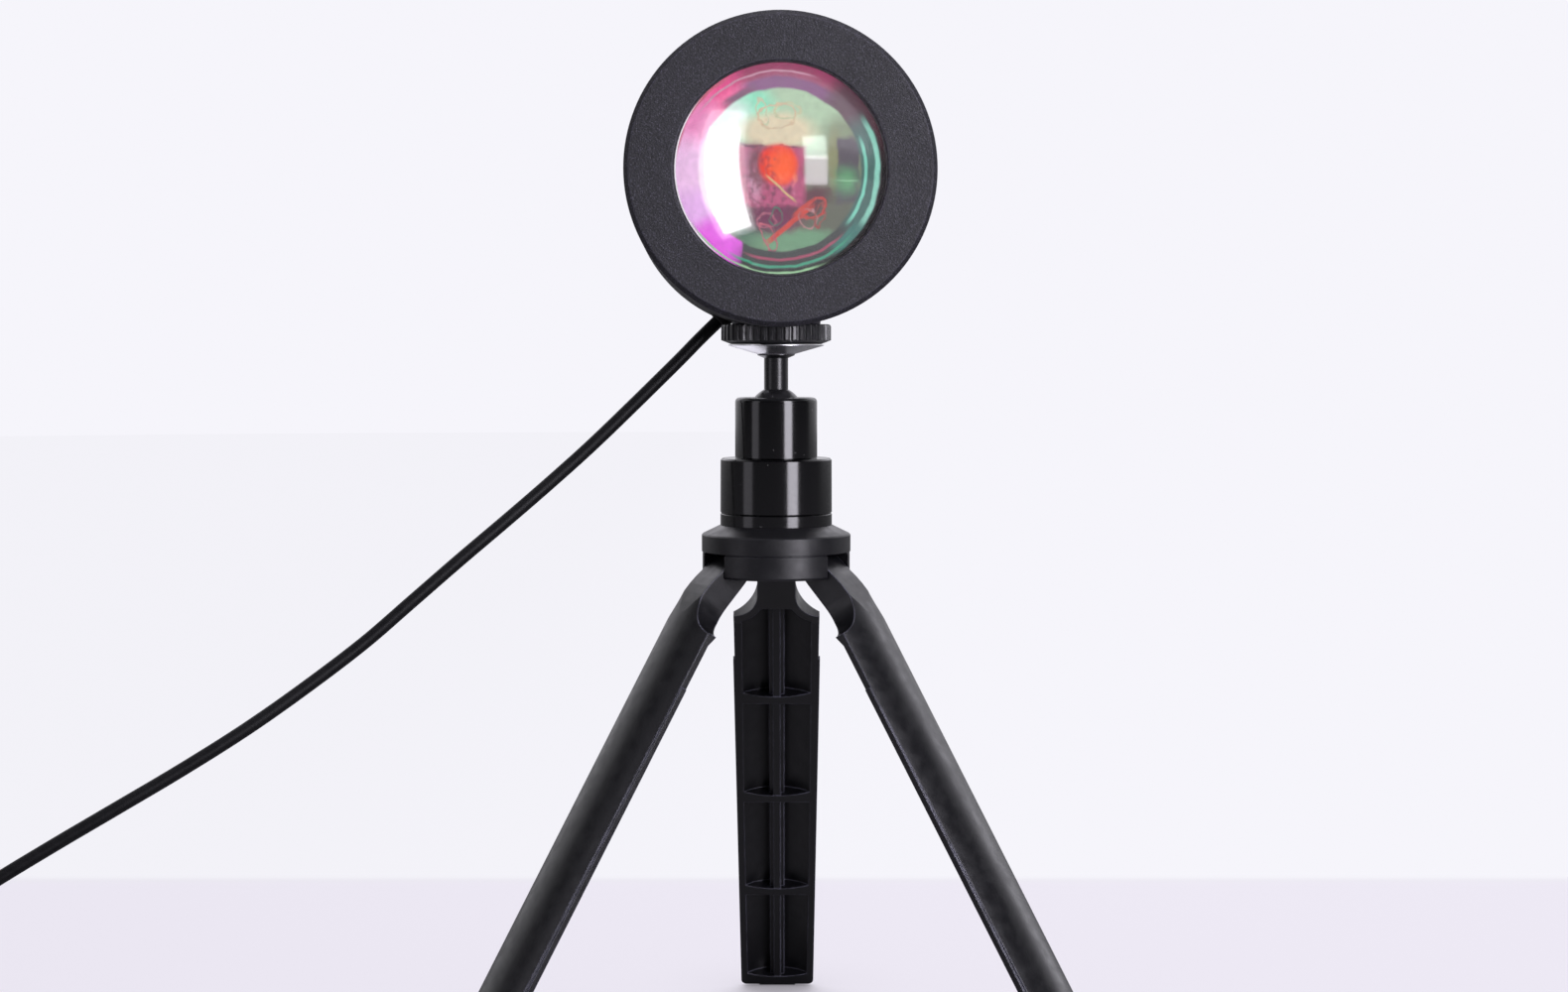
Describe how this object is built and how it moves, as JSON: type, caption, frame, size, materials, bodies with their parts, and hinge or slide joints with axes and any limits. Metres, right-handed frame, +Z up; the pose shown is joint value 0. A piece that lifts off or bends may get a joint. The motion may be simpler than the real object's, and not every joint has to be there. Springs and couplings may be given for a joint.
{
  "type": "sunset projection lamp",
  "caption": "Sunset projection lamp: a round black head with a domed colour lens, on a ball joint and a folding mini tripod, with a thin cord, switch and plug.",
  "frame": {"origin": "middle of the tripod's footprint on the table, halfway between the rearmost and the foremost reach of the feet; the ball joint's upright axis stands 16.3 mm towards -Y from it", "axes": "+Z up, the lens looks along -Y, +X to the right as seen from the front"},
  "size_m": [0.2949, 0.1619, 0.2161],
  "materials": {
    "head_black": "fine-grained matte black",
    "lens_glass": "clear domed glass with a magenta to green interference coating",
    "filter_glass": "colour filter glass",
    "black_rubber": "matte black",
    "inner_black": "matte black",
    "led_phosphor": "LED phosphor",
    "white_board": "white",
    "green_board": "green board",
    "bare_aluminium": "bare",
    "lead_red": "wire insulation",
    "zinc_steel": "zinc plated",
    "brass": "bare",
    "ring_black": "satin black, knurled",
    "gloss_black": "glossy black",
    "seat_plastic": "natural nylon",
    "hub_black": "satin black",
    "leg_black": "satin black",
    "cord_black": "satin black",
    "tie_black": "woven strap",
    "plug_steel": "nickel plated"
  },
  "bodies": {
    "tripod_hub": {"ball_housing": "gloss_black", "ball_seat": "seat_plastic", "seat_springs": "zinc_steel", "base_ring": "gloss_black", "hub_crown": "hub_black", "hub_yoke": "hub_black", "hub_screw": "zinc_steel", "leg_pins": "zinc_steel", "cord_lead": "cord_black", "cord_link": "cord_black", "cord_coil": "cord_black", "cord_tail": "cord_black", "coil_tie": "tie_black", "switch_base": "hub_black", "switch_cover": "hub_black", "switch_board": "green_board", "plug_grip": "cord_black", "plug_shell": "plug_steel", "plug_tongue": "white_board"},
    "lock_collar": {"lock_collar": "gloss_black"},
    "ball_stem": {"ball_stem": "gloss_black", "cord_top": "cord_black"},
    "lock_ring": {"lock_ring": "ring_black"},
    "lamp_head": {"head_shell": "head_black", "front_plate": "head_black", "lens": "lens_glass", "lens_seal": "black_rubber", "colour_filter": "filter_glass", "spacer_tube": "inner_black", "led_chip": "led_phosphor", "led_board": "white_board", "heat_sink": "bare_aluminium", "driver_board": "green_board", "led_leads": "lead_red", "back_plate": "head_black", "back_screws": "zinc_steel", "brass_insert": "brass", "cord_grommet": "black_rubber"},
    "leg_back": {"leg_back": "leg_black", "foot_back": "black_rubber"},
    "leg_left": {"leg_left": "leg_black", "foot_left": "black_rubber"},
    "leg_right": {"leg_right": "leg_black", "foot_right": "black_rubber"},
    "switch_button": {"switch_button": "head_black"}
  },
  "joints": [
    {"name": "ball_tilt", "type": "hinge", "parent": "tripod_hub", "child": "ball_stem", "pos_m": [0, -0.01632, 0.13865], "axis": [1, 0, 0], "range_deg": [-25, 25], "deforming": ["cord_lead"]},
    {"name": "head_swivel", "type": "hinge", "parent": "ball_stem", "child": "lamp_head", "pos_m": [0, -0.01632, 0.15685], "axis": [0, 0, 1], "range_deg": [-90, 90], "deforming": ["cord_top"]},
    {"name": "lock_ring_spin", "type": "hinge", "parent": "ball_stem", "child": "lock_ring", "pos_m": [0, -0.01632, 0.15275], "axis": [0, 0, 1], "continuous": true},
    {"name": "lock_collar_turn", "type": "hinge", "parent": "tripod_hub", "child": "lock_collar", "pos_m": [0, -0.01632, 0.11845], "axis": [0, 0, 1], "range_deg": [0, 60]},
    {"name": "back_leg_fold", "type": "hinge", "parent": "tripod_hub", "child": "leg_back", "pos_m": [0, -0.00582, 0.1077], "axis": [-1, 0, 0], "range_deg": [0, 30.5]},
    {"name": "left_leg_fold", "type": "hinge", "parent": "tripod_hub", "child": "leg_left", "pos_m": [-0.00909, -0.02157, 0.1077], "axis": [0.5, -0.866, 0], "range_deg": [0, 30.5]},
    {"name": "right_leg_fold", "type": "hinge", "parent": "tripod_hub", "child": "leg_right", "pos_m": [0.00909, -0.02157, 0.1077], "axis": [0.5, 0.866, 0], "range_deg": [0, 30.5]},
    {"name": "switch_press", "type": "slide", "parent": "tripod_hub", "child": "switch_button", "axis": [0, 0, -1], "range_m": [0, 0.0012], "stiffness_N_per_m": 800}
  ]
}
